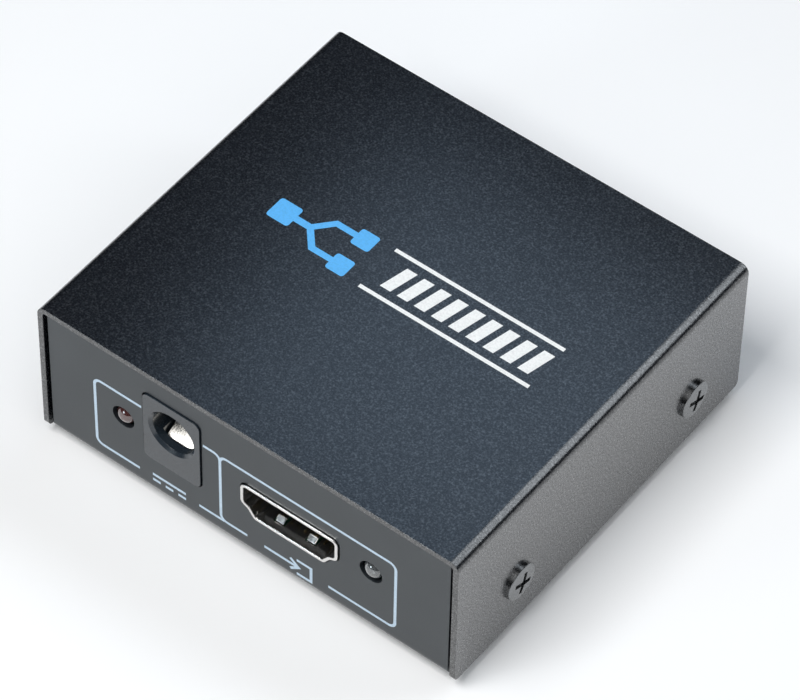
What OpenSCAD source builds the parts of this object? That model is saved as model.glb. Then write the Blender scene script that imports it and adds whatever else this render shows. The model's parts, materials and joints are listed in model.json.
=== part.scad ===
// Video splitter in a folded sheet-steel case: one input socket and a power jack in front, two output
// sockets behind. The cover is a U that drops over a tray, and the tray carries the circuit board.
// The case frame has x across, y back from the cover's front edge and z up from the tray's underside.

/* [Case] */
// Outside width of the cover
case_w = 64; // [60:1:80]
// Depth of the cover from its front edge to its rear edge
case_d = 58.5; // [53:0.5:80]
// Height from the underside of the tray to the top of the cover
case_h = 22.8; // [21.8:0.2:30]
// Thickness of the sheet steel
sheet_t = 0.8; // [0.6:0.1:1]
// Inside radius of the folds
bend_r = 0.5; // [0.2:0.1:1]
// Gap between the tray's panels and the cover's walls, each side
panel_gap = 0.5; // [0.2:0.05:0.8]
// Gap between the cover's top and the upper edges of the tray's panels
lid_gap = 0.15; // [0.05:0.05:0.5]
// Distance from the cover's front edge back to the front panel
front_recess = 0.3; // [0.3:0.1:0.8]
// Distance that the rear panel stands out of the cover
rear_proud = 0.6; // [0.3:0.1:1]
// Height of the cover's lower edges above the underside of the tray
cover_lift = 0.2; // [0:0.1:0.5]
// Radius of the lower corners of the cover's walls
cover_corner_r = 0.8; // [0.2:0.1:2]
// Width of the straps that fold up into the screw ears
ear_w = 9; // [8:0.5:11]
// Height of the screw ears
ear_h = 10.8; // [10:0.2:13]
// Gap between a screw ear and the cover's wall
ear_gap = 0.1; // [0.05:0.05:0.3]
// Gap around a connector or a lamp in its panel opening
cut_gap = 0.2; // [0.1:0.05:0.3]

/* [Feet] */
// Diameter of a rubber foot
foot_d = 8; // [6:0.5:10]
// Height of a rubber foot
foot_h = 1.6; // [1:0.2:3]
// Radius of the lower edge of a foot
foot_edge_r = 0.6; // [0.2:0.1:0.9]
// Distance from the sides of the case to a foot's centre
foot_inset = 7; // [6.5:0.5:7.5]

/* [Screws] */
// Thread diameter of every screw
screw_d = 3; // [2.5:0.1:3.2]
// Gap between a thread and the hole it bites into
thread_gap = 0.05; // [0.03:0.01:0.1]
// Gap between a thread and the hole it passes through
pass_gap = 0.2; // [0.1:0.05:0.3]
// Diameter of a screw head
screw_head_d = 5.2; // [4.8:0.1:5.6]
// Height of a screw head at its middle
screw_head_h = 0.8; // [0.7:0.1:1.2]
// Height of a screw head at its rim
screw_rim_h = 0.5; // [0.3:0.1:0.6]
// Length of the cross recess
cross_l = 3.2; // [2.4:0.1:3.6]
// Width of the cross recess
cross_w = 0.65; // [0.4:0.05:0.8]
// Depth of the cross recess
cross_depth = 0.5; // [0.3:0.05:0.6]
// Turn of the cross recess
cross_turn = 70; // [0:5:85]
// Length of a cover screw under its head
cover_screw_l = 4; // [3.5:0.5:5]
// Length of a board screw under its head
board_screw_l = 4.6; // [4:0.2:5]
// Distance from the cover's front edge to the front pair of cover screws
cover_screw_front = 12.3; // [11:0.1:15]
// Distance from the cover's rear edge to the rear pair of cover screws
cover_screw_rear = 10.5; // [8:0.1:14]
// Height of the cover screws above the underside of the tray
cover_screw_z = 7.6; // [6:0.2:8]

/* [Circuit board] */
// Thickness of the board
board_t = 1.6; // [1:0.2:2]
// Height of the board's upper face above the underside of the tray
board_top = 6.6; // [6.1:0.1:7.1]
// Gap between the board and the panels
board_end_gap = 0.5; // [0.3:0.1:1]
// Gap between the board's long edges and the tips of the cover screws
board_side_gap = 0.5; // [0.3:0.1:1]
// Distance from the board's long edges to its screw holes
board_hole_inset = 3.6; // [3.2:0.1:4]
// Distance from the board's front edge to the front pair of screw holes
board_hole_front = 14; // [13:0.5:16]
// Distance from the board's rear edge to the rear pair of screw holes
board_hole_rear = 14; // [13:0.5:16]
// Width of a hexagonal board pillar across its flats
pillar_af = 5; // [4.8:0.1:5.5]
// Diameter of the pillar's shank in the tray
pillar_shank_d = 4.2; // [4:0.1:4.6]
// Gap around pressed and soldered pins
fit_gap = 0.05; // [0.03:0.01:0.1]
// Length of the pins below the board
pin_below = 1; // [0.6:0.1:1.4]

/* [Video sockets] */
// Place of the input socket's middle, right of the case's middle
input_x = 6.7; // [5:0.1:8]
// Distance of the output sockets' middles from the case's middle
output_x = 12; // [11:0.5:13]
// Width of the socket's opening
socket_w = 14; // [13.6:0.1:14.2]
// Height of the socket's opening
socket_h = 4.7; // [4.4:0.05:4.8]
// Width of the opening's flat bottom
socket_floor_w = 10.2; // [9.6:0.2:10.8]
// Width of the opening at its shoulders, where its steep lower sides end
socket_shoulder_w = 12; // [11.8:0.1:12.2]
// Height of the shoulders above the opening's flat bottom
socket_shoulder_z = 1.3; // [1.1:0.1:1.4]
// Height above the opening's flat bottom at which its upright sides start
socket_side_z = 1.8; // [1.7:0.1:2.2]
// Radius of the opening's corners
socket_corner_r = 0.5; // [0.3:0.1:0.8]
// Thickness of the socket's shell
shell_t = 0.3; // [0.25:0.05:0.4]
// Thickness of the rolled lip at the mouth, from the opening outwards
lip_t = 0.4; // [0.35:0.05:0.6]
// Length of the rolled lip
lip_l = 0.6; // [0.5:0.1:0.8]
// Length of the shell from its mouth to its rear edge
shell_l = 10.5; // [10:0.5:12]
// Height of the shell above the board
shell_lift = 0.85; // [0.4:0.05:0.9]
// Distance that the mouth stands out of its panel
mouth_proud = 0.25; // [0.1:0.05:0.3]
// Width of a spring tongue in the shell
spring_w = 1.2; // [1:0.1:1.4]
// Distance of the two lower spring tongues from the socket's middle
lower_spring_x = 2.4; // [2:0.1:2.8]
// Distance of the two upper spring tongues from the socket's middle
upper_spring_x = 3.5; // [3:0.1:4]
// Height of a spring tongue's crest inside the opening
spring_rise = 0.6; // [0.4:0.05:0.7]
// Distance from the mouth to a spring tongue's crest
spring_crest_y = 1.9; // [1.7:0.1:2.4]
// Distance from the mouth to the root of a spring tongue
spring_root_y = 6.6; // [6:0.1:6.8]
// Width of a shell leg along the socket
leg_w = 1.4; // [1.2:0.1:1.6]
// Distance from the mouth to the front legs
leg_front_y = 4; // [3.6:0.1:4.4]
// Distance from the mouth to the rear legs
leg_rear_y = 9; // [8.6:0.1:9.2]
// Distance from the mouth to the insulator's block
block_y = 7.4; // [7.2:0.1:7.6]
// Length of the insulator's block behind the shell
block_tail_l = 1.4; // [1:0.1:1.8]
// Distance from the mouth to the tip of the contact tongue
tongue_y = 2.2; // [1.8:0.1:2.6]
// Width of the contact tongue
tongue_w = 10.8; // [10.6:0.1:11]
// Thickness of the contact tongue
tongue_t = 1.1; // [1:0.05:1.2]
// Number of contacts above the tongue, with one fewer below it
contact_count = 10; // [4:1:10]
// Spacing of the contacts in each row
contact_pitch = 1; // [0.9:0.05:1]
// Width of a contact
contact_w = 0.26; // [0.2:0.02:0.3]
// Thickness of a contact
contact_t = 0.15; // [0.1:0.05:0.2]
// Length of a contact's soldered foot
contact_foot_l = 0.9; // [0.6:0.1:1.2]

/* [Power jack] */
// Place of the jack's middle, right of the case's middle
jack_x = -11.4; // [-12.5:0.1:-10.5]
// Width of the jack
jack_w = 8.8; // [8.6:0.1:9.2]
// Height of the jack's face
jack_h = 11.9; // [11.4:0.1:12.2]
// Length of the jack
jack_l = 14.2; // [13.6:0.2:15]
// Thickness of the jack's square face
jack_face_l = 3.4; // [3:0.1:4]
// Radius of the face's corners
jack_corner_r = 0.9; // [0.3:0.1:1]
// Distance that the jack's face stands out of the front panel
jack_proud = 0.2; // [0.1:0.05:0.3]
// Height of the jack's bore above the board
jack_axis_z = 7; // [6.6:0.1:7.2]
// Diameter of the jack's bore
jack_bore_d = 6.4; // [6.2:0.1:6.6]
// Depth of the jack's bore
jack_bore_l = 10; // [9.6:0.2:10.6]
// Width of the bevel at the bore's mouth
jack_bevel = 0.4; // [0.2:0.1:0.6]
// Diameter of the jack's centre pin
jack_pin_d = 2; // [1.8:0.1:2.2]
// Diameter of the centre pin's shank in the jack's rear wall
jack_shank_d = 2.6; // [2.4:0.1:3]
// Distance from the face to the tip of the centre pin
jack_pin_y = 3; // [2.6:0.1:3.4]
// Width of the sleeve spring
leaf_w = 4.4; // [4:0.1:4.6]
// Thickness of the jack's contact metal
leaf_t = 0.3; // [0.25:0.05:0.35]
// Height of the sleeve spring's crest above the lowest line of the bore
leaf_rise = 1; // [0.7:0.1:1.1]
// Distance from the face to the front edge of the sleeve spring
leaf_tip_y = 1.8; // [1.6:0.1:2]
// Distance from the face to the crest of the sleeve spring
leaf_crest_y = 4; // [3.8:0.1:4.6]
// Distance from the face to the root of the sleeve spring
leaf_root_y = 10.4; // [10:0.1:10.8]
// Depth of the sleeve spring's front edge below the lowest line of the bore
leaf_tip_drop = 0.2; // [0:0.05:0.4]
// Depth of the sleeve spring's root below the lowest line of the bore
leaf_root_drop = 0.9; // [0.8:0.05:1]
// Gap around the sleeve spring in its slot
leaf_gap = 0.3; // [0.25:0.05:0.4]
// Gap between the spring's root and the fixed sleeve terminal
leaf_root_gap = 0.15; // [0.1:0.05:0.2]
// Height of the slot's floor above the board
slot_floor_z = 1; // [0.8:0.1:1.1]
// Width of the jack's terminals
terminal_w = 2; // [1.6:0.1:2.4]
// Width of the switch contact's finger
finger_w = 1; // [0.8:0.1:1.2]
// Distance from the face to the middle of the switch contact
finger_y = 9; // [8.8:0.1:9.2]
// Length of the switch contact's finger over the sleeve spring
finger_reach = 0.6; // [0.4:0.1:0.8]

/* [Lamps] */
// Place of the power lamp, right of the case's middle
power_lamp_x = -19.1; // [-20:0.1:-18.6]
// Place of the input lamp, right of the case's middle
input_lamp_x = 19; // [18:0.2:20]
// Distance of the output lamps from the case's middle
output_lamp_x = 23.6; // [23:0.2:24.4]
// Height of the lamps above the underside of the tray
lamp_z = 11; // [10.6:0.1:11.4]
// Diameter of a lamp's lens
lamp_d = 3; // [2.8:0.1:3.2]
// Length of a lamp from its tip to the back of its rim
lamp_l = 5.2; // [4.8:0.1:5.6]
// Diameter of a lamp's rim
lamp_rim_d = 3.8; // [3.6:0.1:4]
// Thickness of a lamp's rim
lamp_rim_l = 1; // [0.8:0.1:1.2]
// Distance that a lamp's tip stands out of its panel
lamp_proud = 0.3; // [0.1:0.05:0.3]
// Thickness of a lamp's leads
lead_t = 0.5; // [0.4:0.05:0.6]
// Spacing of a lamp's leads
lead_pitch = 2.54; // [2.4:0.02:2.7]
// Length of a lead behind its lamp, before it bends down
lead_back = 1.6; // [1.2:0.1:2]

/* [Board parts] */
// Width of the splitter chip
chip_w = 12; // [10:0.5:13]
// Height of the splitter chip's body
chip_h = 1.4; // [1:0.1:1.8]
// Height of the chips' bodies above the board
chip_lift = 0.1; // [0.05:0.05:0.2]
// Number of pins along each side of the splitter chip
chip_pin_count = 16; // [8:1:18]
// Spacing of the splitter chip's pins
chip_pin_pitch = 0.5; // [0.4:0.05:0.5]
// Width of the splitter chip's pins
chip_pin_w = 0.22; // [0.18:0.02:0.26]
// Reach of a chip's pins from its body
chip_pin_reach = 1; // [0.8:0.1:1.2]
// Thickness of the chips' pins
chip_pin_t = 0.15; // [0.1:0.05:0.2]
// Length of the memory chip
memory_l = 4.9; // [4.4:0.1:5.4]
// Width of the memory chip
memory_w = 3.9; // [3.6:0.1:4.2]
// Spacing of the memory chip's pins
memory_pitch = 1.27; // [1.1:0.01:1.3]
// Length of the voltage regulator
regulator_l = 6.5; // [6:0.1:7]
// Width of the voltage regulator
regulator_w = 3.5; // [3.2:0.1:3.8]
// Spacing of the voltage regulator's pins
regulator_pitch = 2.3; // [2:0.1:2.4]
// Width of the small chips' pins
small_pin_w = 0.5; // [0.4:0.05:0.7]
// Width of the voltage regulator's tab
regulator_tab_w = 3; // [2.6:0.1:3.4]
// Diameter of a filter capacitor's can
can_d = 6.3; // [5.6:0.1:6.6]
// Height of a filter capacitor's can
can_h = 5.2; // [4.6:0.2:5.8]
// Width of a filter capacitor's base over its can
can_base_margin = 0.3; // [0.2:0.1:0.5]
// Height of a filter capacitor's base
can_base_h = 0.9; // [0.7:0.1:1.1]
// Width of the power inductor
inductor_w = 6; // [5.4:0.1:6.6]
// Height of the power inductor
inductor_h = 3; // [2.4:0.1:3.6]
// Length of the crystal's can
crystal_l = 10.4; // [9.6:0.2:11]
// Width of the crystal's can
crystal_w = 4.4; // [4:0.1:4.8]
// Height of the crystal's can
crystal_h = 3.6; // [3:0.1:4]
// Width of the crystal's foot around its can
crystal_foot = 0.4; // [0.3:0.1:0.5]
// Thickness of the crystal's foot
crystal_foot_t = 0.5; // [0.4:0.1:0.7]
// Length of the protection diode
diode_l = 4.4; // [4:0.1:4.8]
// Width of the protection diode
diode_w = 2.6; // [2.4:0.1:2.8]
// Height of the protection diode
diode_h = 2.2; // [2:0.1:2.4]
// Length of a chip capacitor or resistor
chip_part_l = 1.6; // [1.4:0.1:1.8]
// Width of a chip capacitor or resistor
chip_part_w = 0.8; // [0.7:0.05:0.9]
// Height of a chip capacitor
chip_capacitor_h = 0.8; // [0.6:0.1:0.9]
// Height of a chip resistor
chip_resistor_h = 0.45; // [0.35:0.05:0.55]
// Spacing of the chip parts in a row
chip_part_pitch = 2; // [1.8:0.1:2.2]

/* [Hidden] */
$fn = 48;

// Steps in each rounded corner of an outline
corner_steps = 5;
// Reach of a cutting shape past the face that it cuts
over = 1;

total_d = case_d + rear_proud + max(mouth_proud, lamp_proud);
panel_w = case_w - 2 * (sheet_t + panel_gap);
panel_top = case_h - sheet_t - lid_gap;
front_inner = front_recess + sheet_t;
rear_outer = case_d + rear_proud;
rear_inner = rear_outer - sheet_t;
tray_d = rear_outer - front_recess;
ear_span = case_w - 2 * (sheet_t + ear_gap);

board_w = case_w - 2 * (cover_screw_l + board_side_gap);
board_front = front_inner + board_end_gap;
board_rear = rear_inner - board_end_gap;
board_bottom = board_top - board_t;

screw_r = screw_d / 2;
screw_head_r = screw_head_d / 2;
cover_screw_ys = [cover_screw_front, case_d - cover_screw_rear];
board_hole_x = board_w / 2 - board_hole_inset;
board_hole_ys = [board_front + board_hole_front, board_rear - board_hole_rear];

socket_half = socket_w / 2;
socket_floor_z = shell_lift + shell_t;
leg_ys = [leg_front_y, leg_rear_y];
spring_tip_y = spring_crest_y - spring_rise;
insulator_end = shell_l + block_tail_l;
tongue_top = (socket_h + tongue_t) / 2;
tongue_bottom = tongue_top - tongue_t;
contact_start = tongue_y + contact_foot_l;
contact_back = insulator_end + contact_t;
mouth_front = front_recess - mouth_proud;
mouth_rear = rear_outer + mouth_proud;
output_xs = [output_x, -output_x];

jack_front = front_recess - jack_proud;
bore_r = jack_bore_d / 2;
bore_low = jack_axis_z - bore_r;
leaf_slot_w = leaf_w + 2 * leaf_gap;
sleeve_leg_y = leaf_root_y + leaf_root_gap + terminal_w / 2;
finger_z = bore_low + leaf_rise + leaf_gap
    - (leaf_rise + leaf_root_drop) * (finger_y - finger_w / 2 - leaf_crest_y) / (leaf_root_y - leaf_crest_y);
finger_tip_x = leaf_w / 2 - finger_reach;

lamp_hole_d = lamp_d + 2 * cut_gap;
lamp_front = front_recess - lamp_proud;
lamp_rear = rear_outer + lamp_proud;
lamp_up = lamp_z - board_top;
output_lamp_xs = [output_lamp_x, -output_lamp_x];

// The free middle of the board, between the jack and the output sockets
free_front = jack_front + jack_l + terminal_w;
free_rear = mouth_rear - contact_back - contact_foot_l;
free_mid = (free_front + free_rear) / 2;
chip_reach = chip_w / 2 + chip_pin_reach;
side_x = (chip_reach + board_w / 2) / 2;
can_base_w = can_d + 2 * can_base_margin;

// Sum of the first n values of a list
function total(values, n) = n == 0 ? 0 : values[n - 1] + total(values, n - 1);

// Middles of pieces of these lengths that share a stretch of the board, with even gaps between them
function spread(from, to, lengths) =
    let (gap = (to - from - total(lengths, len(lengths))) / (len(lengths) + 1))
    [for (i = [0:len(lengths) - 1]) from + total(lengths, i) + gap * (i + 1) + lengths[i] / 2];

left_ys = spread(free_front, free_rear, [diode_w, can_base_w, can_base_w, inductor_w]);
right_ys = spread(free_front, free_rear, [
    crystal_w + 2 * crystal_foot, memory_w + 2 * chip_pin_reach, regulator_w + 2 * chip_pin_reach
]);

// Points of an outline with every corner rounded to radius r
function rounded(points, r) = [
    for (i = [0:len(points) - 1])
        let (
            here = points[i],
            to_last = points[(i + len(points) - 1) % len(points)] - here,
            to_next = points[(i + 1) % len(points)] - here,
            a = to_last / norm(to_last),
            b = to_next / norm(to_next),
            half = acos(a * b) / 2,
            centre = here + (a + b) / norm(a + b) * r / sin(half),
            start = here + a * r / tan(half) - centre,
            finish = here + b * r / tan(half) - centre
        )
        for (k = [0:corner_steps])
            let (
                sweep = 180 - 2 * half,
                t = sweep * k / corner_steps
            )
            centre + (start * sin(sweep - t) + finish * sin(t)) / sin(sweep)
];

// Corners of an outline with every edge moved outwards by g
function grown(points, g) = [
    for (i = [0:len(points) - 1])
        let (
            here = points[i],
            a = here - points[(i + len(points) - 1) % len(points)],
            b = points[(i + 1) % len(points)] - here,
            out_a = [a[1], -a[0]] / norm(a),
            out_b = [b[1], -b[0]] / norm(b)
        )
        here + (out_a + out_b) * g / (1 + out_a * out_b)
];

// Outline of the socket's opening, grown outwards by g
function socket_outline(g) =
    let (
        right = [
            [socket_floor_w / 2, 0], [socket_shoulder_w / 2, socket_shoulder_z],
            [socket_half, socket_side_z], [socket_half, socket_h]
        ],
        left = [for (i = [len(right) - 1:-1:0]) [-right[i][0], right[i][1]]]
    )
    rounded(grown(concat(right, left), g), socket_corner_r + g);

function box_outline(w, l) = [[-w / 2, -l / 2], [w / 2, -l / 2], [w / 2, l / 2], [-w / 2, l / 2]];

// From the case frame to the part's frame, which has its origin under the middle of the feet
module placed() {
    translate([0, -total_d / 2, foot_h]) children();
}

// Extrudes an outline in x and z from y = 0 back to y = length
module along_y(length) {
    translate([0, length, 0]) rotate([90, 0, 0]) linear_extrude(length) children();
}

// Extrudes an outline in y and z across x, centred
module along_x(length) {
    rotate([90, 0, 90]) linear_extrude(length, center = true) children();
}

// Cylinder from y = 0 back to y = length
module rod_y(r, length) {
    rotate([-90, 0, 0]) cylinder(r = r, h = length);
}

// Rectangle on its open lower edge with its two upper corners rounded
module arch2d(w, h, r) {
    translate([-w / 2, 0]) square([w, h - r]);
    translate([r - w / 2, 0]) square([w - 2 * r, h]);
    for (side = [-1, 1]) translate([side * (w / 2 - r), h - r]) circle(r);
}

// Sheet folded into an upside-down U
module folded2d(w, h) {
    difference() {
        arch2d(w, h, bend_r + sheet_t);
        translate([0, -over]) arch2d(w - 2 * sheet_t, h - sheet_t + over, bend_r);
    }
}

module cover_screw_places() {
    for (side = [-1, 1], y = cover_screw_ys)
        translate([side * case_w / 2, y, cover_screw_z]) rotate([0, side * 90, 0]) children();
}

module board_screw_places() {
    for (side = [-1, 1], y = board_hole_ys) translate([side * board_hole_x, y, board_top]) children();
}

module front_cut(x, z) {
    translate([x, front_recess - over, z]) along_y(sheet_t + 2 * over) children();
}

module rear_cut(x, z) {
    translate([x, rear_inner - over, z]) along_y(sheet_t + 2 * over) children();
}

// Low pan-head screw that points down from z = 0
module pan_screw(length) {
    difference() {
        rotate_extrude() polygon([
            [0, -length], [screw_r, -length], [screw_r, 0], [screw_head_r, 0], [screw_head_r, screw_rim_h],
            for (a = [15:15:75]) [
                screw_head_r * cos(a), screw_rim_h + (screw_head_h - screw_rim_h) * sin(a)
            ],
            [0, screw_head_h]
        ]);
        for (turn = [0, 90])
            rotate(cross_turn + turn)
                translate([-cross_l / 2, -cross_w / 2, screw_head_h - cross_depth])
                    cube([cross_l, cross_w, cross_depth + over]);
    }
}

module top_cover() {
    color([0.15, 0.17, 0.2])
    placed()
    difference() {
        intersection() {
            translate([0, 0, cover_lift]) along_y(case_d) folded2d(case_w, case_h - cover_lift);
            along_x(case_w + 2 * over)
                translate([case_d / 2, case_h]) mirror([0, 1])
                    arch2d(case_d, case_h - cover_lift, cover_corner_r);
        }
        cover_screw_places()
            translate([0, 0, -sheet_t - over]) cylinder(r = screw_r + pass_gap, h = sheet_t + 2 * over);
    }
}

module base_tray() {
    color([0.28, 0.3, 0.33])
    placed()
    difference() {
        union() {
            along_x(panel_w)
                translate([front_recess + tray_d / 2, panel_top]) mirror([0, 1]) folded2d(tray_d, panel_top);
            for (y = cover_screw_ys)
                translate([0, y - ear_w / 2, ear_h])
                    mirror([0, 0, 1]) along_y(ear_w) folded2d(ear_span, ear_h);
        }
        front_cut(jack_x, board_top) polygon(jack_face_outline(cut_gap));
        front_cut(input_x, board_top + socket_floor_z) polygon(socket_outline(lip_t + cut_gap));
        for (x = [power_lamp_x, input_lamp_x]) front_cut(x, lamp_z) circle(d = lamp_hole_d);
        for (x = output_xs) rear_cut(x, board_top + socket_floor_z) polygon(socket_outline(lip_t + cut_gap));
        for (x = output_lamp_xs) rear_cut(x, lamp_z) circle(d = lamp_hole_d);
        cover_screw_places()
            translate([0, 0, -cover_screw_l]) cylinder(r = screw_r + thread_gap, h = cover_screw_l);
        board_screw_places()
            translate([0, 0, -board_top - over])
                cylinder(d = pillar_shank_d + 2 * fit_gap, h = sheet_t + 2 * over);
    }
}

module cover_screws() {
    color([0.08, 0.08, 0.09]) placed() cover_screw_places() pan_screw(cover_screw_l);
}

module rubber_feet() {
    foot_r = foot_d / 2;
    color([0.07, 0.07, 0.07])
    placed()
    for (side = [-1, 1], y = [foot_inset, case_d - foot_inset])
        translate([side * (case_w / 2 - foot_inset), y, -foot_h])
            rotate_extrude() {
                translate([0, foot_edge_r]) square([foot_r, foot_h - foot_edge_r]);
                square([foot_r - foot_edge_r, foot_h]);
                translate([foot_r - foot_edge_r, foot_edge_r]) circle(foot_edge_r);
            }
}

module board_pillars() {
    color([0.75, 0.65, 0.35])
    placed()
    board_screw_places()
    difference() {
        union() {
            translate([0, 0, sheet_t - board_top])
                cylinder(d = pillar_af / cos(30), h = board_bottom - sheet_t, $fn = 6);
            translate([0, 0, -board_top]) cylinder(d = pillar_shank_d, h = sheet_t);
        }
        translate([0, 0, -board_top - over]) cylinder(r = screw_r + thread_gap, h = board_top + 2 * over);
    }
}

module board_screws() {
    color([0.7, 0.7, 0.72]) placed() board_screw_places() pan_screw(board_screw_l);
}

module circuit_board() {
    color([0.05, 0.3, 0.16])
    placed()
    difference() {
        translate([-board_w / 2, board_front, board_bottom])
            cube([board_w, board_rear - board_front, board_t]);
        board_screw_places()
            translate([0, 0, -board_t - over]) cylinder(r = screw_r + pass_gap, h = board_t + 2 * over);
        through_board() {
            input_socket_place() socket_legs(fit_gap);
            output_socket_place(0) socket_legs(fit_gap);
            output_socket_place(1) socket_legs(fit_gap);
            jack_place() jack_legs(fit_gap);
            lamp_lead_places() lamp_lead(fit_gap);
        }
    }
}

// The stretch of the pins that passes through the board
module through_board() {
    intersection() {
        translate([-board_w / 2, board_front, board_bottom - over])
            cube([board_w, board_rear - board_front, board_t + over]);
        union() children();
    }
}

// Power jack, with y back from its face and z up from the board
module jack_place() {
    translate([jack_x, jack_front, board_top]) children();
}

function jack_face_outline(g) =
    rounded(
        [for (p = box_outline(jack_w + 2 * g, jack_h + 2 * g)) p + [0, jack_h / 2]],
        jack_corner_r + g
    );

// Pins that pass through the board, grown by g each way for their holes
module jack_legs(g) {
    leg_h = board_t + pin_below;
    for (y = [jack_l, sleeve_leg_y])
        translate([-terminal_w / 2 - g, y - g, -leg_h])
            cube([terminal_w + 2 * g, leaf_t + 2 * g, leg_h + over]);
    translate([jack_w / 2 - g, finger_y - finger_w / 2 - g, -leg_h])
        cube([leaf_t + 2 * g, finger_w + 2 * g, leg_h + over]);
}

module jack_housing() {
    color([0.27, 0.29, 0.32])
    placed()
    jack_place()
    difference() {
        union() {
            along_y(jack_face_l) polygon(jack_face_outline(0));
            translate([0, jack_face_l, 0])
                along_y(jack_l - jack_face_l) {
                    translate([-jack_w / 2, 0]) square([jack_w, jack_axis_z]);
                    translate([0, jack_axis_z]) circle(d = jack_w);
                }
        }
        translate([0, -over, jack_axis_z]) rod_y(bore_r, jack_bore_l + over);
        translate([0, 0, jack_axis_z])
            rotate([-90, 0, 0])
                translate([0, 0, -over])
                    cylinder(r1 = bore_r + jack_bevel + over, r2 = bore_r, h = jack_bevel + over);
        translate([0, 0, jack_axis_z]) rod_y(jack_shank_d / 2 + fit_gap, jack_l + over);
        leaf_slot();
        terminal_slot();
        finger_window();
    }
}

// Room for the sleeve spring to sink as a plug comes in
module leaf_slot() {
    translate([-leaf_slot_w / 2, leaf_tip_y - leaf_gap, slot_floor_z])
        cube([leaf_slot_w, leaf_root_y + leaf_root_gap + leaf_gap - leaf_tip_y, jack_axis_z - slot_floor_z]);
}

// Slot in which the fixed sleeve terminal runs down to the board
module terminal_slot() {
    translate([-terminal_w / 2 - fit_gap, leaf_root_y, -over])
        cube([
            terminal_w + 2 * fit_gap,
            sleeve_leg_y + leaf_t + fit_gap - leaf_root_y,
            bore_low - leaf_root_drop + fit_gap + over
        ]);
}

// Side window in which the switch contact's finger reaches in over the sleeve spring
module finger_window() {
    translate([finger_tip_x, finger_y - finger_w / 2 - fit_gap, finger_z - fit_gap])
        cube([jack_w, finger_w + 2 * fit_gap, leaf_t + 2 * fit_gap]);
}

module jack_centre_pin() {
    pin_r = jack_pin_d / 2;
    shank_r = jack_shank_d / 2;
    nose = pin_r / 2;
    color([0.8, 0.8, 0.78])
    placed()
    jack_place() {
        translate([0, jack_pin_y, jack_axis_z])
            rotate([-90, 0, 0])
                rotate_extrude() polygon([
                    [0, 0], [pin_r - nose, 0], [pin_r, nose],
                    [pin_r, jack_bore_l - jack_pin_y], [shank_r, jack_bore_l - jack_pin_y],
                    [shank_r, jack_l - jack_pin_y], [0, jack_l - jack_pin_y]
                ]);
        translate([-terminal_w / 2, jack_l, -board_t - pin_below])
            cube([terminal_w, leaf_t, board_t + pin_below + jack_axis_z + shank_r]);
    }
}

module jack_sleeve_terminal() {
    plate_top = bore_low - leaf_root_drop;
    plate_front = leaf_root_y + leaf_root_gap;
    color([0.8, 0.8, 0.78])
    placed()
    jack_place() {
        translate([-terminal_w / 2, plate_front, plate_top - leaf_t])
            cube([terminal_w, sleeve_leg_y + leaf_t - plate_front, leaf_t]);
        translate([-terminal_w / 2, sleeve_leg_y, -board_t - pin_below])
            cube([terminal_w, leaf_t, board_t + pin_below + plate_top]);
    }
}

// Springy strip under the bore: it rises to a crest that touches the plug and dips again at its front edge
module jack_sleeve_spring() {
    root_z = bore_low - leaf_root_drop;
    crest_z = bore_low + leaf_rise;
    tip_z = bore_low - leaf_tip_drop;
    color([0.85, 0.85, 0.83])
    placed()
    jack_place()
    along_x(leaf_w)
        polygon([
            [leaf_tip_y, tip_z], [leaf_crest_y, crest_z], [leaf_root_y, root_z],
            [leaf_root_y, root_z - leaf_t], [leaf_crest_y, crest_z - leaf_t], [leaf_tip_y, tip_z - leaf_t]
        ]);
}

module jack_switch_contact() {
    color([0.8, 0.8, 0.78])
    placed()
    jack_place() {
        translate([finger_tip_x, finger_y - finger_w / 2, finger_z])
            cube([jack_w / 2 + leaf_t - finger_tip_x, finger_w, leaf_t]);
        translate([jack_w / 2, finger_y - finger_w / 2, -board_t - pin_below])
            cube([leaf_t, finger_w, board_t + pin_below + finger_z + leaf_t]);
    }
}

// Video sockets, with y back from the mouth and z up from the board
module input_socket_place() {
    translate([input_x, mouth_front, board_top]) children();
}

module output_socket_place(i) {
    translate([output_xs[i], mouth_rear, board_top]) rotate(180) children();
}

// Legs that pass through the board, grown by g each way for their slots
module socket_legs(g) {
    for (side = [-1, 1], y = leg_ys)
        translate([side * (socket_half + shell_t / 2), y, 0])
            translate([-shell_t / 2 - g, -leg_w / 2 - g, -board_t - pin_below])
                cube([shell_t + 2 * g, leg_w + 2 * g, board_t + pin_below + socket_floor_z + socket_h / 2]);
}

// Spring tongue that bends up from the shell's lower wall, whose inner face is at z = 0
module spring_tongue() {
    along_x(spring_w)
        polygon([
            [spring_root_y + leg_w / 2, 0], [spring_crest_y, spring_rise], [spring_tip_y, 0],
            [spring_tip_y, -shell_t], [spring_crest_y, spring_rise - shell_t],
            [spring_root_y, -shell_t], [spring_root_y + leg_w / 2, -shell_t]
        ]);
}

// Window that the spring tongue is cut from
module spring_window() {
    window_w = spring_w + 2 * cut_gap;
    window_y = spring_tip_y - cut_gap;
    translate([-window_w / 2, window_y, -2 * shell_t])
        cube([window_w, spring_root_y - window_y, 3 * shell_t]);
}

module spring_places() {
    for (side = [-1, 1]) translate([side * lower_spring_x, 0, 0]) children();
    for (side = [-1, 1]) translate([side * upper_spring_x, 0, socket_h]) mirror([0, 0, 1]) children();
}

module socket_shell() {
    color([0.82, 0.82, 0.8]) {
        difference() {
            union() {
                translate([0, 0, socket_floor_z]) {
                    along_y(shell_l) polygon(socket_outline(shell_t));
                    along_y(lip_l) polygon(socket_outline(lip_t));
                }
                socket_legs(0);
            }
            translate([0, -over, socket_floor_z]) along_y(shell_l + 2 * over) polygon(socket_outline(0));
            translate([0, 0, socket_floor_z]) spring_places() spring_window();
        }
        translate([0, 0, socket_floor_z]) spring_places() spring_tongue();
    }
}

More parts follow.
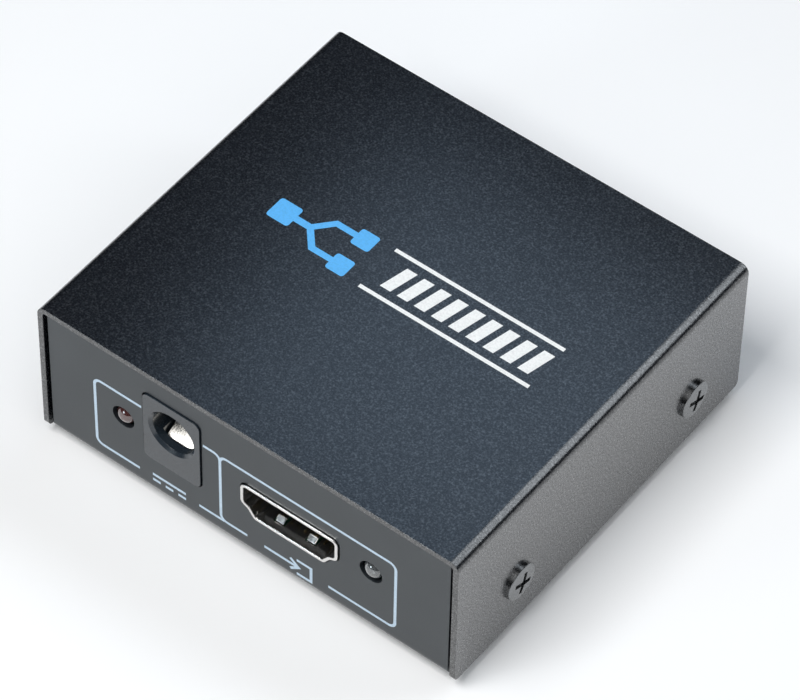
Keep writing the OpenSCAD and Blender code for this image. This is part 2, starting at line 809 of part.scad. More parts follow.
module socket_insulator() {
    color([0.06, 0.06, 0.07])
    difference() {
        union() {
            translate([0, block_y, socket_floor_z])
                along_y(insulator_end - block_y) polygon(socket_outline(-fit_gap));
            translate([-tongue_w / 2, tongue_y, socket_floor_z + tongue_bottom])
                cube([tongue_w, block_y - tongue_y + over, tongue_t]);
            translate([-socket_floor_w / 2 + socket_corner_r, shell_l + fit_gap, 0])
                cube([socket_floor_w - 2 * socket_corner_r, block_tail_l - fit_gap, socket_floor_z + over]);
        }
        socket_contact_rows();
    }
}

// One contact: along the tongue, through the block, down behind it and out to a soldered foot
module socket_contact(z) {
    along_x(contact_w)
        polygon([
            [contact_start, z], [contact_back, z], [contact_back, contact_t],
            [contact_back + contact_foot_l, contact_t], [contact_back + contact_foot_l, 0],
            [contact_back - contact_t, 0], [contact_back - contact_t, z - contact_t],
            [contact_start, z - contact_t]
        ]);
}

module socket_contact_rows() {
    upper_z = socket_floor_z + tongue_top + contact_t;
    lower_z = socket_floor_z + tongue_bottom;
    for (i = [0:contact_count - 1])
        translate([(i - (contact_count - 1) / 2) * contact_pitch, 0, 0]) socket_contact(upper_z);
    for (i = [0:contact_count - 2])
        translate([(i - (contact_count - 2) / 2) * contact_pitch, 0, 0]) socket_contact(lower_z);
}

module socket_contacts() {
    color([0.85, 0.68, 0.3]) socket_contact_rows();
}

// Indicator lamp with y back from its tip
module lamp_lens() {
    lens_r = lamp_d / 2;
    rotate([-90, 0, 0])
        rotate_extrude() {
            intersection() {
                translate([0, lens_r]) circle(lens_r);
                square([lens_r, lamp_d]);
            }
            translate([0, lens_r]) square([lens_r, lamp_l - lens_r]);
            translate([0, lamp_l - lamp_rim_l]) square([lamp_rim_d / 2, lamp_rim_l]);
        }
}

module front_lamp_place(x) {
    translate([x, lamp_front, lamp_z]) children();
}

module rear_lamp_place(i) {
    translate([output_lamp_xs[i], lamp_rear, lamp_z]) rotate(180) children();
}

// One lead, back from the lamp's rim and down through the board, grown by g for its hole
module lamp_lead(g) {
    translate([-lead_t / 2 - g, lamp_l - g, -lead_t / 2 - g])
        cube([lead_t + 2 * g, lead_back + lead_t + 2 * g, lead_t + 2 * g]);
    translate([-lead_t / 2 - g, lamp_l + lead_back - g, -lamp_up - board_t - pin_below])
        cube([lead_t + 2 * g, lead_t + 2 * g, lamp_up + board_t + pin_below + lead_t / 2 + g]);
}

module lamp_lead_places() {
    for (side = [-1, 1]) {
        for (x = [power_lamp_x, input_lamp_x])
            front_lamp_place(x) translate([side * lead_pitch / 2, 0, 0]) children();
        for (i = [0, 1])
            rear_lamp_place(i) translate([side * lead_pitch / 2, 0, 0]) children();
    }
}

module power_lamp() {
    color([0.35, 0.16, 0.15]) placed() front_lamp_place(power_lamp_x) lamp_lens();
}

module input_lamp() {
    color([0.6, 0.62, 0.64]) placed() front_lamp_place(input_lamp_x) lamp_lens();
}

module output_lamp(i) {
    color([0.6, 0.62, 0.64]) placed() rear_lamp_place(i) lamp_lens();
}

module lamp_leads() {
    color([0.78, 0.78, 0.76]) placed() lamp_lead_places() lamp_lead(0);
}

// Places on the board, with z up from its upper face
module on_board(x, y) {
    placed() translate([x, y, board_top]) children();
}

// Body of a chip with z up from the board
module chip_body(w, l, h) {
    translate([-w / 2, -l / 2, chip_lift]) cube([w, l, h]);
}

// Bent pin that leaves a chip's body at y = 0 and ends in a foot on the board
module chip_pin(w) {
    exit_z = chip_lift + chip_h / 2;
    along_x(w)
        polygon([
            [0, exit_z], [chip_pin_reach / 2, exit_z], [chip_pin_reach / 2, chip_pin_t],
            [chip_pin_reach, chip_pin_t], [chip_pin_reach, 0], [chip_pin_reach / 2 - chip_pin_t, 0],
            [chip_pin_reach / 2 - chip_pin_t, exit_z - chip_pin_t], [0, exit_z - chip_pin_t]
        ]);
}

module pin_row(count, pitch, w) {
    for (i = [0:count - 1]) translate([(i - (count - 1) / 2) * pitch, 0, 0]) chip_pin(w);
}

module splitter_chip_place() {
    on_board(0, free_mid) children();
}

module splitter_chip() {
    color([0.08, 0.08, 0.09]) splitter_chip_place() chip_body(chip_w, chip_w, chip_h);
}

module splitter_chip_pins() {
    color([0.75, 0.75, 0.74])
    splitter_chip_place()
    for (turn = [0:90:270])
        rotate(turn) translate([0, chip_w / 2, 0]) pin_row(chip_pin_count, chip_pin_pitch, chip_pin_w);
}

module memory_chip_place() {
    on_board(side_x, right_ys[1]) children();
}

module memory_chip() {
    color([0.08, 0.08, 0.09]) memory_chip_place() chip_body(memory_l, memory_w, chip_h);
}

module memory_chip_pins() {
    color([0.75, 0.75, 0.74])
    memory_chip_place()
    for (turn = [0, 180])
        rotate(turn) translate([0, memory_w / 2, 0]) pin_row(4, memory_pitch, small_pin_w);
}

module regulator_place() {
    on_board(side_x, right_ys[2]) children();
}

module voltage_regulator() {
    color([0.08, 0.08, 0.09]) regulator_place() chip_body(regulator_l, regulator_w, chip_h);
}

module voltage_regulator_pins() {
    color([0.75, 0.75, 0.74])
    regulator_place() {
        translate([0, regulator_w / 2, 0]) pin_row(3, regulator_pitch, small_pin_w);
        rotate(180) translate([0, regulator_w / 2, 0]) chip_pin(regulator_tab_w);
    }
}

module filter_capacitor_places() {
    for (i = [1, 2]) on_board(-side_x, left_ys[i]) children();
}

module filter_capacitor_cans() {
    bead_r = can_d / 12;
    color([0.75, 0.76, 0.78])
    filter_capacitor_places()
    translate([0, 0, can_base_h])
        rotate_extrude() difference() {
            square([can_d / 2, can_h]);
            translate([can_d / 2 + bead_r / 2, can_h / 4]) circle(bead_r);
        }
}

module filter_capacitor_bases() {
    cut = can_base_w / 5;
    half = can_base_w / 2;
    color([0.05, 0.05, 0.05])
    filter_capacitor_places()
    linear_extrude(can_base_h)
        polygon([
            [-half, -half], [half - cut, -half], [half, cut - half], [half, half - cut], [half - cut, half],
            [-half, half]
        ]);
}

module power_inductor() {
    color([0.2, 0.2, 0.21])
    on_board(-side_x, left_ys[3])
    linear_extrude(inductor_h) polygon(rounded(box_outline(inductor_w, inductor_w), inductor_w / 6));
}

module timing_crystal() {
    foot_w = crystal_w + 2 * crystal_foot;
    foot_l = crystal_l + 2 * crystal_foot;
    color([0.78, 0.79, 0.8])
    on_board(side_x, right_ys[0]) {
        linear_extrude(crystal_foot_t) polygon(rounded(box_outline(foot_l, foot_w), foot_w / 2.2));
        linear_extrude(crystal_h) polygon(rounded(box_outline(crystal_l, crystal_w), crystal_w / 2.2));
    }
}

module protection_diode() {
    color([0.1, 0.1, 0.1])
    on_board(-side_x, left_ys[0])
    translate([-diode_l / 2, -diode_w / 2, 0]) cube([diode_l, diode_w, diode_h]);
}

// Row of small two-ended parts across the board, centred on x
module chip_part_row(x, y, count, h) {
    for (i = [0:count - 1])
        on_board(x + (i - (count - 1) / 2) * chip_part_pitch, y)
            translate([-chip_part_w / 2, -chip_part_l / 2, 0]) cube([chip_part_w, chip_part_l, h]);
}

module chip_capacitors() {
    color([0.72, 0.6, 0.45]) chip_part_row(0, free_mid - chip_reach - chip_part_l, 7, chip_capacitor_h);
}

module chip_resistors() {
    color([0.1, 0.1, 0.12]) chip_part_row(0, free_mid + chip_reach + chip_part_l, 8, chip_resistor_h);
}

top_cover();
base_tray();
cover_screws();
rubber_feet();
board_pillars();
board_screws();
circuit_board();
jack_housing();
jack_centre_pin();
jack_sleeve_terminal();
jack_sleeve_spring();
jack_switch_contact();
placed() input_socket_place() socket_shell();  // input_socket_shell
placed() input_socket_place() socket_insulator();  // input_socket_insulator
placed() input_socket_place() socket_contacts();  // input_socket_contacts
placed() output_socket_place(0) socket_shell();  // output_1_socket_shell
placed() output_socket_place(0) socket_insulator();  // output_1_socket_insulator
placed() output_socket_place(0) socket_contacts();  // output_1_socket_contacts
placed() output_socket_place(1) socket_shell();  // output_2_socket_shell
placed() output_socket_place(1) socket_insulator();  // output_2_socket_insulator
placed() output_socket_place(1) socket_contacts();  // output_2_socket_contacts
power_lamp();
input_lamp();
output_lamp(0);  // output_1_lamp
output_lamp(1);  // output_2_lamp
lamp_leads();
splitter_chip();
splitter_chip_pins();
memory_chip();
memory_chip_pins();
voltage_regulator();
voltage_regulator_pins();
filter_capacitor_cans();
filter_capacitor_bases();
power_inductor();
timing_crystal();
protection_diode();
chip_capacitors();
chip_resistors();
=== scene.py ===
"""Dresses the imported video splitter: finishes, prints, floor, light and camera.

Lengths are metres. X runs to the right along the front panel, Y from the front to the rear and Z up.
"""

import json
import math

import bmesh
import bpy
from mathutils import Matrix, Quaternion, Vector


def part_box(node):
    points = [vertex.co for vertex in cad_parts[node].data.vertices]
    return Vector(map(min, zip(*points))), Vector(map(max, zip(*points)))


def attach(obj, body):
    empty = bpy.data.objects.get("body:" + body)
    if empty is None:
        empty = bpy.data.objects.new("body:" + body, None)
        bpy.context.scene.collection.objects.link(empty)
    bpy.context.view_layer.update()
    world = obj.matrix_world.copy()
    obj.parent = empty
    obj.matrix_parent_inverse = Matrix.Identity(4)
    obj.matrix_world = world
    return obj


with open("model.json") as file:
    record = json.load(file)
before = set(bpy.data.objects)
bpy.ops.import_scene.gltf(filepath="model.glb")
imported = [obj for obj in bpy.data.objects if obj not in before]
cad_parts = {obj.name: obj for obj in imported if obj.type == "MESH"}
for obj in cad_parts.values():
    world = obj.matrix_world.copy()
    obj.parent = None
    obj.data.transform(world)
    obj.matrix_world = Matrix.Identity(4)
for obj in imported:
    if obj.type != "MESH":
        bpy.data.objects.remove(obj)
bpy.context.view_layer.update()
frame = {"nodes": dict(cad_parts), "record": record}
NODES = frame["nodes"]
MM = 0.001

# Camera, solved from the case's edges in the photograph, which is 800 pixels wide
CAMERA_TARGET = Vector((-3.06, 5.0, 4.81)) * MM
CAMERA_DISTANCE = 632.8 * MM
CAMERA_AZIMUTH = math.radians(36.69)
CAMERA_ELEVATION = math.radians(50.35)
CAMERA_ROLL = math.radians(1.27)
CAMERA_LENS = 227.78
CAMERA_SENSOR = 36.0
CAMERA_CLIP = (0.01, 20)

# Faces that the prints lie on
FRONT_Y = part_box("base_tray")[0].y
TRAY_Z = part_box("base_tray")[0].z
COVER_FRONT_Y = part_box("top_cover")[0].y
COVER_TOP_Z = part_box("top_cover")[1].z

# Printed film: its thickness, and the share of it between the heights that outlines take in turn
INK_T = 0.02 * MM
INK_STEP = 0.15
INK_LEVELS = 4

# Radii that the shading gives to sharp edges
COVER_EDGE = 0.15 * MM
TRAY_EDGE = 0.1 * MM
METAL_EDGE = 0.05 * MM
SHELL_EDGE = 0.2 * MM
PLASTIC_EDGE = 0.08 * MM

# Straight steps in a rounded corner of an outline and of a path
CORNER_STEPS = 4
PATH_STEPS = 6

# Half the floor's width
FLOOR_REACH = 3.0


class Surface:
    """A Principled material whose pattern nodes are added one at a time."""

    def __init__(self, name, colour, roughness, metallic=0.0):
        self.material = bpy.data.materials.new(name)
        self.material.use_nodes = True
        self.tree = self.material.node_tree
        self.shader = self.tree.nodes["Principled BSDF"]
        self.place = self.node("ShaderNodeTexCoord").outputs["Object"]
        self.set("Base Color", (*colour, 1))
        self.set("Roughness", roughness)
        self.set("Metallic", metallic)

    def node(self, kind, **inputs):
        """A new node with its inputs set to values or linked to other nodes' outputs."""
        made = self.tree.nodes.new(kind)
        for name, value in inputs.items():
            self.feed(made.inputs[name.replace("_", " ")], value)
        return made

    def feed(self, socket, value):
        """Sets a socket to a value, or links it to an output."""
        if isinstance(value, bpy.types.NodeSocket):
            self.tree.links.new(value, socket)
        else:
            socket.default_value = value

    def set(self, name, value):
        """Sets or links one of the shader's own sockets."""
        self.feed(self.shader.inputs[name], value)

    def noise(self, grain, detail=2.0, stretch=(1, 1, 1)):
        """A noise pattern whose grains are that long, drawn out by stretch along each axis."""
        scale = tuple(1 / (grain * s) for s in stretch)
        spot = self.node("ShaderNodeMapping", Vector=self.place, Scale=scale)
        made = self.node("ShaderNodeTexNoise", Vector=spot.outputs[0], Scale=1.0, Detail=detail)
        return made.outputs[0]

    def ramp(self, factor, *stops):
        """Maps a pattern to colours or grey levels at the given places."""
        made = self.node("ShaderNodeValToRGB", Fac=factor)
        points = made.color_ramp.elements
        while len(points) < len(stops):
            points.new(0.5)
        for point, (place, colour) in zip(points, stops):
            point.position = place
            point.color = (*colour, 1) if isinstance(colour, tuple) else (colour, colour, colour, 1)
        return made.outputs[0]

    def span(self, factor, low, high):
        """Maps a pattern from its usual middle range to values between low and high."""
        made = self.node("ShaderNodeMapRange", Value=factor)
        for name, value in {"From Min": 0.3, "From Max": 0.7, "To Min": low, "To Max": high}.items():
            made.inputs[name].default_value = value
        return made.outputs[0]

    def rounded(self, radius):
        """Normals that run round the sharp edges."""
        return self.node("ShaderNodeBevel", Radius=radius).outputs[0]

    def bump(self, height, distance, normal):
        """Raises the surface by a pattern, over normals that are already rounded."""
        return self.node("ShaderNodeBump", Height=height, Distance=distance, Normal=normal).outputs[0]


def powder_coat():
    """Dark textured powder coat with a fine orange peel and a speckled gloss."""
    s = Surface("cover_powder_coat", (0.005, 0.006, 0.009), 0.22)
    speck = s.noise(0.25 * MM, detail=1.0)
    dark = (0.0035, 0.0045, 0.007)
    middle = (0.008, 0.0093, 0.012)
    pale = (0.026, 0.028, 0.032)
    s.set("Base Color", s.ramp(speck, (0.35, dark), (0.62, middle), (0.78, pale)))
    s.set("Roughness", s.span(s.noise(4 * MM, detail=3.0), 0.2, 0.23))
    s.set("Specular IOR Level", 0.9)
    peel = s.noise(0.2 * MM, detail=1.0)
    normal = s.bump(peel, 0.012 * MM, s.rounded(COVER_EDGE))
    s.set("Normal", normal)
    s.set("Coat Weight", s.ramp(speck, (0.4, 0.15), (0.58, 0.5), (0.72, 1.0)))
    s.set("Coat IOR", 1.9)
    s.set("Coat Roughness", 0.28)
    s.set("Coat Normal", normal)
    return s.material


def satin_paint():
    """Smooth satin paint of the tray and its panels."""
    s = Surface("tray_satin_paint", (0.017, 0.020, 0.0245), 0.38)
    cloud = s.noise(7 * MM, detail=3.0)
    dark = (0.013, 0.0155, 0.019)
    pale = (0.018, 0.021, 0.025)
    s.set("Base Color", s.ramp(cloud, (0.3, dark), (0.7, pale)))
    s.set("Specular Tint", (0.8, 0.94, 1.0, 1))
    s.set("Specular IOR Level", 0.42)
    grain = s.noise(0.2 * MM)
    s.set("Roughness", s.span(grain, 0.34, 0.44))
    normal = s.bump(grain, 0.004 * MM, s.rounded(TRAY_EDGE))
    s.set("Normal", normal)
    s.set("Coat Weight", 0.35)
    s.set("Coat Roughness", 0.3)
    s.set("Coat Normal", normal)
    return s.material


def metal(name, colour, roughness, grain, stretch=(1, 1, 1), edge=METAL_EDGE):
    """Plated or plain metal with fine marks, which stretch draws out along an axis."""
    s = Surface(name, colour, roughness, metallic=1.0)
    marks = s.noise(grain, detail=3.0, stretch=stretch)
    s.set("Roughness", s.span(marks, roughness * 0.7, roughness * 1.4))
    s.set("Normal", s.bump(marks, 0.003 * MM, s.rounded(edge)))
    return s.material


def plastic(name, colour, roughness, grain=0.15 * MM, depth=0.006 * MM, gloss=0.0):
    """Moulded plastic, resin or rubber with a fine sparked grain and an optional gloss over it."""
    s = Surface(name, colour, roughness)
    spark = s.noise(grain)
    light = tuple(min(1.0, c * 1.25) for c in colour)
    s.set("Base Color", s.ramp(s.noise(3 * MM), (0.3, colour), (0.7, light)))
    s.set("Roughness", s.span(spark, roughness * 0.85, min(1.0, roughness * 1.2)))
    s.set("Normal", s.bump(spark, depth, s.rounded(PLASTIC_EDGE)))
    s.set("Coat Weight", gloss)
    s.set("Coat Roughness", 0.2)
    return s.material


def lens(name, colour, clearness):
    """Cast epoxy of an indicator lamp, with a slightly uneven gloss."""
    s = Surface(name, colour, 0.06)
    cloud = s.noise(0.8 * MM)
    s.set("Roughness", s.span(cloud, 0.04, 0.09))
    s.set("Transmission Weight", clearness)
    s.set("IOR", 1.58)
    s.set("Coat Weight", 1.0)
    s.set("Coat IOR", 1.8)
    return s.material


def ink(name, colour):
    """Screen-printed ink with a slightly uneven film."""
    s = Surface(name, colour, 0.5)
    film = s.noise(0.25 * MM)
    pale = tuple(min(1.0, c * 1.06) for c in colour)
    thin = tuple(c * 0.92 for c in colour)
    s.set("Base Color", s.ramp(film, (0.3, thin), (0.6, pale)))
    s.set("Roughness", s.span(film, 0.42, 0.6))
    return s.material


# Finish of each material slot: name, colour, roughness and grain, in the order that its maker takes them
FINISHES = {
    "cover_paint": powder_coat(),
    "tray_paint": satin_paint(),
    "black_screw": metal("black_zinc", (0.23, 0.235, 0.24), 0.25, 0.4 * MM),
    "foot_rubber": plastic("foot_rubber", (0.018, 0.018, 0.019), 0.8, 0.3 * MM, 0.02 * MM),
    "pillar_brass": metal("turned_brass", (0.72, 0.52, 0.24), 0.3, 0.3 * MM, (4, 4, 0.3)),
    "plated_steel": metal("plated_steel", (0.68, 0.67, 0.65), 0.25, 0.3 * MM),
    "spring_steel": metal("spring_steel", (0.82, 0.80, 0.75), 0.26, 0.2 * MM, (1, 5, 1)),
    "board_laminate": plastic("solder_mask", (0.012, 0.10, 0.045), 0.35, 0.6 * MM),
    "jack_plastic": plastic("jack_plastic", (0.014, 0.020, 0.027), 0.24, gloss=0.5),
    "socket_nickel": metal("socket_nickel", (0.80, 0.79, 0.77), 0.16, 0.3 * MM, (1, 4, 1), SHELL_EDGE),
    "socket_plastic": plastic("socket_plastic", (0.010, 0.010, 0.011), 0.45),
    "contact_gold": metal("contact_gold", (0.88, 0.66, 0.30), 0.2, 0.2 * MM, (1, 4, 1)),
    "red_lens": lens("red_lens", (0.085, 0.03, 0.027), 0.3),
    "clear_lens": lens("clear_lens", (0.25, 0.27, 0.28), 0.7),
    "chip_resin": plastic("chip_resin", (0.016, 0.016, 0.017), 0.6),
    "chip_pin": metal("tinned_pin", (0.72, 0.72, 0.70), 0.3, 0.2 * MM),
    "can_aluminium": metal("can_aluminium", (0.80, 0.81, 0.82), 0.28, 0.3 * MM, (1, 1, 8)),
    "base_plastic": plastic("base_plastic", (0.014, 0.014, 0.014), 0.5),
    "ferrite": plastic("ferrite", (0.05, 0.05, 0.052), 0.7, 0.2 * MM, 0.015 * MM),
    "crystal_can": metal("crystal_can", (0.75, 0.76, 0.77), 0.25, 0.4 * MM, (6, 1, 1)),
    "capacitor_ceramic": plastic("capacitor_ceramic", (0.38, 0.24, 0.13), 0.4),
}

for part in frame["record"]["subparts"]:
    NODES[part["node"]].material_slots[0].material = FINISHES[part["material_slot"]]


def quarter(centre, radius, start):
    """Points along a quarter circle that starts at an angle in degrees."""
    angles = [math.radians(start + 90 * k / CORNER_STEPS) for k in range(CORNER_STEPS + 1)]
    return [(centre[0] + radius * math.cos(a), centre[1] + radius * math.sin(a)) for a in angles]


def softened(points, radius):
    """An open path with an arc of that radius at each of its inner corners."""
    made = [points[0]]
    for before, here, after in zip(points, points[1:], points[2:]):
        to_last = (Vector(before) - Vector(here)).normalized()
        to_next = (Vector(after) - Vector(here)).normalized()
        half = to_last.angle(to_next) / 2
        centre = Vector(here) + (to_last + to_next).normalized() * radius / math.sin(half)
        first = Vector(here) + to_last * radius / math.tan(half) - centre
        last = Vector(here) + to_next * radius / math.tan(half) - centre
        made += [tuple(centre + first.slerp(last, k / PATH_STEPS)) for k in range(PATH_STEPS + 1)]
    return made + [points[-1]]


def ribbon(points, width):
    """Outline of a line of that width along an open path."""
    points = [Vector(p) for p in points]
    steps = [(b - a).normalized() for a, b in zip(points, points[1:])]
    left, right = [], []
    for i, point in enumerate(points):
        before, after = steps[max(i - 1, 0)], steps[min(i, len(steps) - 1)]
        along = (before + after).normalized()
        reach = width / 2 / along.dot(after)
        across = Vector((-along.y, along.x)) * reach
        left.append(point + across)
        right.append(point - across)
    return left + right[::-1]


def block(centre, half, radius):
    """Outline of a square with round corners, given half its width."""
    x, y = centre
    corners = [(1, 1, 0), (-1, 1, 90), (-1, -1, 180), (1, -1, 270)]
    return [
        p
        for sx, sy, start in corners
        for p in quarter((x + sx * (half - radius), y + sy * (half - radius)), radius, start)
    ]


def on_front(u, v, lift):
    """A place on the front panel, v up from the tray's underside."""
    return Vector((u, FRONT_Y - lift, TRAY_Z + v))


def on_top(u, v, lift):
    """A place on the cover's top, v back from the cover's front edge."""
    return Vector((u, COVER_FRONT_Y + v, COVER_TOP_Z + lift))


def printed(name, outlines, place, finish):
    """Thin printed film: each outline in millimetres becomes a closed plate that starts below its face."""
    mesh = bmesh.new()
    for layer, outline in enumerate(outlines):
        lift = INK_T * (1 - INK_STEP * (layer % INK_LEVELS))
        low = [mesh.verts.new(place(u * MM, v * MM, -INK_T / 2)) for u, v in outline]
        high = [mesh.verts.new(place(u * MM, v * MM, lift)) for u, v in outline]
        mesh.faces.new(low)
        mesh.faces.new(high)
        for i in range(len(outline)):
            j = (i + 1) % len(outline)
            mesh.faces.new((low[i], low[j], high[j], high[i]))
    bmesh.ops.recalc_face_normals(mesh, faces=mesh.faces)
    bmesh.ops.triangulate(mesh, faces=[f for f in mesh.faces if len(f.verts) > 4])
    data = bpy.data.meshes.new(name)
    mesh.to_mesh(data)
    mesh.free()
    piece = bpy.data.objects.new(name, data)
    bpy.context.scene.collection.objects.link(piece)
    data.materials.append(finish)
    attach(piece, "case")


# Printed lines on the front panel, in millimetres from the case's middle and the tray's underside
LINE_W = 0.42
LINE_R = 1.0
BOX_TOP, BOX_LOW = 15.15, 2.88
BOX_LEFT, BOX_DIVIDE, BOX_RIGHT = -23.55, -4.0, 22.7
JACK_GAP = 0.4
JACK_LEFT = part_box("jack_housing")[0].x / MM - JACK_GAP
JACK_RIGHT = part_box("jack_housing")[1].x / MM + JACK_GAP

# Gaps in the lines that hold the signs: middle and width
POWER_SIGN = (-12.1, 9.4)
INPUT_SIGN = (6.35, 12.5)

# Direct-current sign
DC_BAR = 5.2
DC_DASH = 1.2
DC_PITCH = 2.0
DC_RISE = 0.5

# Arrow into a box, along the panel from the sign's middle
SIGN_REACH = 3.6
SHAFT_END = 1.5
ARROW_TIP = 1.7
BARB_FROM = 0.4
BARB_RISE = 1.0
SIGN_BOX_FROM = 1.4
SIGN_BOX_RISE = 1.3


def front_lines():
    """The two boxes round the power jack and the input, open at the jack and at the signs."""
    power_l, power_r = POWER_SIGN[0] - POWER_SIGN[1] / 2, POWER_SIGN[0] + POWER_SIGN[1] / 2
    input_l, input_r = INPUT_SIGN[0] - INPUT_SIGN[1] / 2, INPUT_SIGN[0] + INPUT_SIGN[1] / 2
    paths = [
        [(JACK_LEFT, BOX_TOP), (BOX_LEFT, BOX_TOP), (BOX_LEFT, BOX_LOW), (power_l, BOX_LOW)],
        [(JACK_RIGHT, BOX_TOP), (BOX_DIVIDE, BOX_TOP), (BOX_DIVIDE, BOX_TOP - 1.5 * LINE_R)],
        [(power_r, BOX_LOW), (BOX_DIVIDE + 0.5 * LINE_R, BOX_LOW)],
        [
            (input_l, BOX_LOW), (BOX_DIVIDE, BOX_LOW), (BOX_DIVIDE, BOX_TOP), (BOX_RIGHT, BOX_TOP),
            (BOX_RIGHT, BOX_LOW), (input_r, BOX_LOW),
        ],
    ]
    return [ribbon(softened(path, LINE_R), LINE_W) for path in paths]


def power_sign():
    """Direct-current sign: a bar over three dashes."""
    x, y = POWER_SIGN[0], BOX_LOW
    paths = [[(x - DC_BAR / 2, y + DC_RISE), (x + DC_BAR / 2, y + DC_RISE)]]
    for middle in (x - DC_PITCH, x, x + DC_PITCH):
        paths.append([(middle - DC_DASH / 2, y - DC_RISE), (middle + DC_DASH / 2, y - DC_RISE)])
    return [ribbon(path, LINE_W) for path in paths]


def input_sign():
    """Arrow that runs into an open box."""
    x, y = INPUT_SIGN[0], BOX_LOW
    mouth, back = x + SIGN_BOX_FROM, x + SIGN_REACH
    low, high = y - SIGN_BOX_RISE, y + SIGN_BOX_RISE
    paths = [
        [(x - SIGN_REACH, y), (x + SHAFT_END, y)],
        [(x + BARB_FROM, y + BARB_RISE), (x + ARROW_TIP, y), (x + BARB_FROM, y - BARB_RISE)],
        [(mouth, high), (back, high), (back, low), (mouth, low)],
    ]
    return [ribbon(path, LINE_W) for path in paths]


# Printed design on the cover's top, in millimetres from the case's middle and the cover's front edge
DESIGN_Y = 30.3

# Branching sign, along the case from FORK_X: one square, its stem, two branches and their squares
FORK_X = -12.5
FORK_RISE = 2.5
ROOT_AT, ROOT_HALF = -5.4, 1.7
STEM_FROM, STEM_TO, STEM_W = -3.7, -0.9, 1.0
BRANCH_FROM, BRANCH_BEND, BRANCH_TO, BRANCH_W = -1.4, 0.8, 4.0, 0.9
TIP_AT, TIP_HALF = 5.2, 1.4
SQUARE_R = 0.4

# Slanted bars and the two rules that they stand between
BAR_FIRST, BAR_PITCH, BAR_COUNT = -1.5, 2.6, 9
BAR_W, BAR_SLANT, BAR_RISE = 1.6, 1.0, 2.1
RULE_FROM, RULE_TO, RULE_RISE, RULE_W = -3.5, 22.2, 3.6, 0.55


def fork_sign():
    """One square that branches into two."""
    y = DESIGN_Y
    made = [block((FORK_X + ROOT_AT, y), ROOT_HALF, SQUARE_R)]
    made.append(ribbon([(FORK_X + STEM_FROM, y), (FORK_X + STEM_TO, y)], STEM_W))
    for branch_y in (y - FORK_RISE, y + FORK_RISE):
        bend, end = (FORK_X + BRANCH_BEND, branch_y), (FORK_X + BRANCH_TO, branch_y)
        made.append(ribbon([(FORK_X + BRANCH_FROM, y), bend, end], BRANCH_W))
        made.append(block((FORK_X + TIP_AT, branch_y), TIP_HALF, SQUARE_R))
    return made


def signal_bars():
    """A row of slanted bars between two rules."""
    rules = (DESIGN_Y - RULE_RISE, DESIGN_Y + RULE_RISE)
    made = [ribbon([(RULE_FROM, y), (RULE_TO, y)], RULE_W) for y in rules]
    low, high = DESIGN_Y - BAR_RISE, DESIGN_Y + BAR_RISE
    for i in range(BAR_COUNT):
        x = BAR_FIRST + i * BAR_PITCH
        top_x = x + BAR_SLANT
        made.append([(x, low), (x + BAR_W, low), (top_x + BAR_W, high), (top_x, high)])
    return made


PANEL_INK = ink("panel_ink", (0.51, 0.63, 0.74))
printed("front_lines", front_lines(), on_front, PANEL_INK)
printed("power_sign", power_sign(), on_front, PANEL_INK)
printed("input_sign", input_sign(), on_front, PANEL_INK)
printed("top_fork_sign", fork_sign(), on_top, ink("sky_ink", (0.10, 0.42, 0.82)))
printed("top_signal_bars", signal_bars(), on_top, ink("white_ink", (0.82, 0.83, 0.82)))


def make_floor():
    """Plain pale floor under the feet."""
    s = Surface("floor_white", (0.955, 0.955, 0.955), 0.9)
    s.set("Specular IOR Level", 0.0)
    data = bpy.data.meshes.new("floor")
    low, high = -FLOOR_REACH, FLOOR_REACH
    data.from_pydata([(low, low, 0), (high, low, 0), (high, high, 0), (low, high, 0)], [], [(0, 1, 2, 3)])
    floor = bpy.data.objects.new("floor", data)
    data.materials.append(s.material)
    bpy.context.scene.collection.objects.link(floor)


def make_world():
    """Dim even surroundings, as inside a dark studio."""
    world = bpy.data.worlds.new("studio")
    world.use_nodes = True
    world.node_tree.nodes["Background"].inputs["Color"].default_value = (0.022, 0.024, 0.027, 1)
    bpy.context.scene.world = world


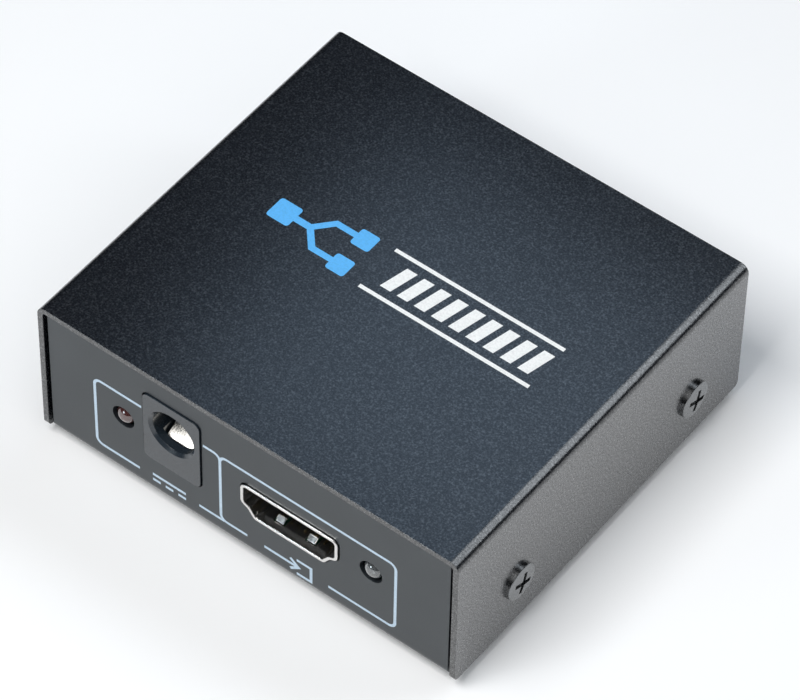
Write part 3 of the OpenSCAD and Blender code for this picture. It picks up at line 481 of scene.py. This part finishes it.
def make_light(name, at, aim, size, power, along=(1, 0, 0), colour=(1, 1, 1)):
    """A rectangular soft light that faces its aim, with its width laid along a direction."""
    data = bpy.data.lights.new(name, "AREA")
    data.shape = "RECTANGLE"
    data.size, data.size_y = size[0] * MM, size[1] * MM
    data.energy, data.color = power, colour
    light = bpy.data.objects.new(name, data)
    back = (Vector(at) - Vector(aim)).normalized()
    side = (Vector(along) - back * back.dot(Vector(along))).normalized()
    turn = Matrix((side, back.cross(side), back)).transposed()
    light.matrix_world = Matrix.Translation(Vector(at) * MM) @ turn.to_4x4()
    light.visible_camera = False
    bpy.context.scene.collection.objects.link(light)


def make_camera():
    """Camera at the photograph's viewing angle."""
    flat = math.cos(CAMERA_ELEVATION)
    back = Vector((
        math.sin(CAMERA_AZIMUTH) * flat, -math.cos(CAMERA_AZIMUTH) * flat, math.sin(CAMERA_ELEVATION),
    ))
    data = bpy.data.cameras.new("camera")
    data.lens, data.sensor_width = CAMERA_LENS, CAMERA_SENSOR
    data.clip_start, data.clip_end = CAMERA_CLIP
    camera = bpy.data.objects.new("camera", data)
    camera.location = CAMERA_TARGET + back * CAMERA_DISTANCE
    camera.rotation_mode = "QUATERNION"
    camera.rotation_quaternion = (-back).to_track_quat("-Z", "Y") @ Quaternion((0, 0, 1), CAMERA_ROLL)
    bpy.context.scene.collection.objects.link(camera)
    bpy.context.scene.camera = camera


# Lamps: places and sizes in millimetres, power in watts, and the direction of the width where it matters
LAMPS = [
    {"name": "key", "at": (-90, -330, 640), "aim": (0, 0, 0), "size": (360, 360), "power": 3.9},
    {"name": "window", "at": (330, -300, 600), "aim": (0, 0, 0), "size": (700, 700), "power": 1.5},
    {
        "name": "catch_light", "at": (-205, -500, 160), "aim": (0, -30, 12), "size": (140, 140),
        "power": 0.42, "colour": (0.8, 0.92, 1.0),
    },
    {
        "name": "rear_softbox", "at": (190, 255, 400), "aim": (0, 0, 24), "size": (520, 140),
        "power": 0.75, "along": (0.875, 0, -0.483), "colour": (0.88, 0.94, 1.0),
    },
    {
        "name": "overhead_card", "at": (-30, 56, 124), "aim": (-30, 56, 24), "size": (72, 71),
        "power": 0.013, "colour": (0.55, 0.75, 1.0),
    },
]

make_floor()
make_world()
make_camera()
for lamp in LAMPS:
    make_light(**lamp)
bpy.context.scene.view_settings.view_transform = "Standard"
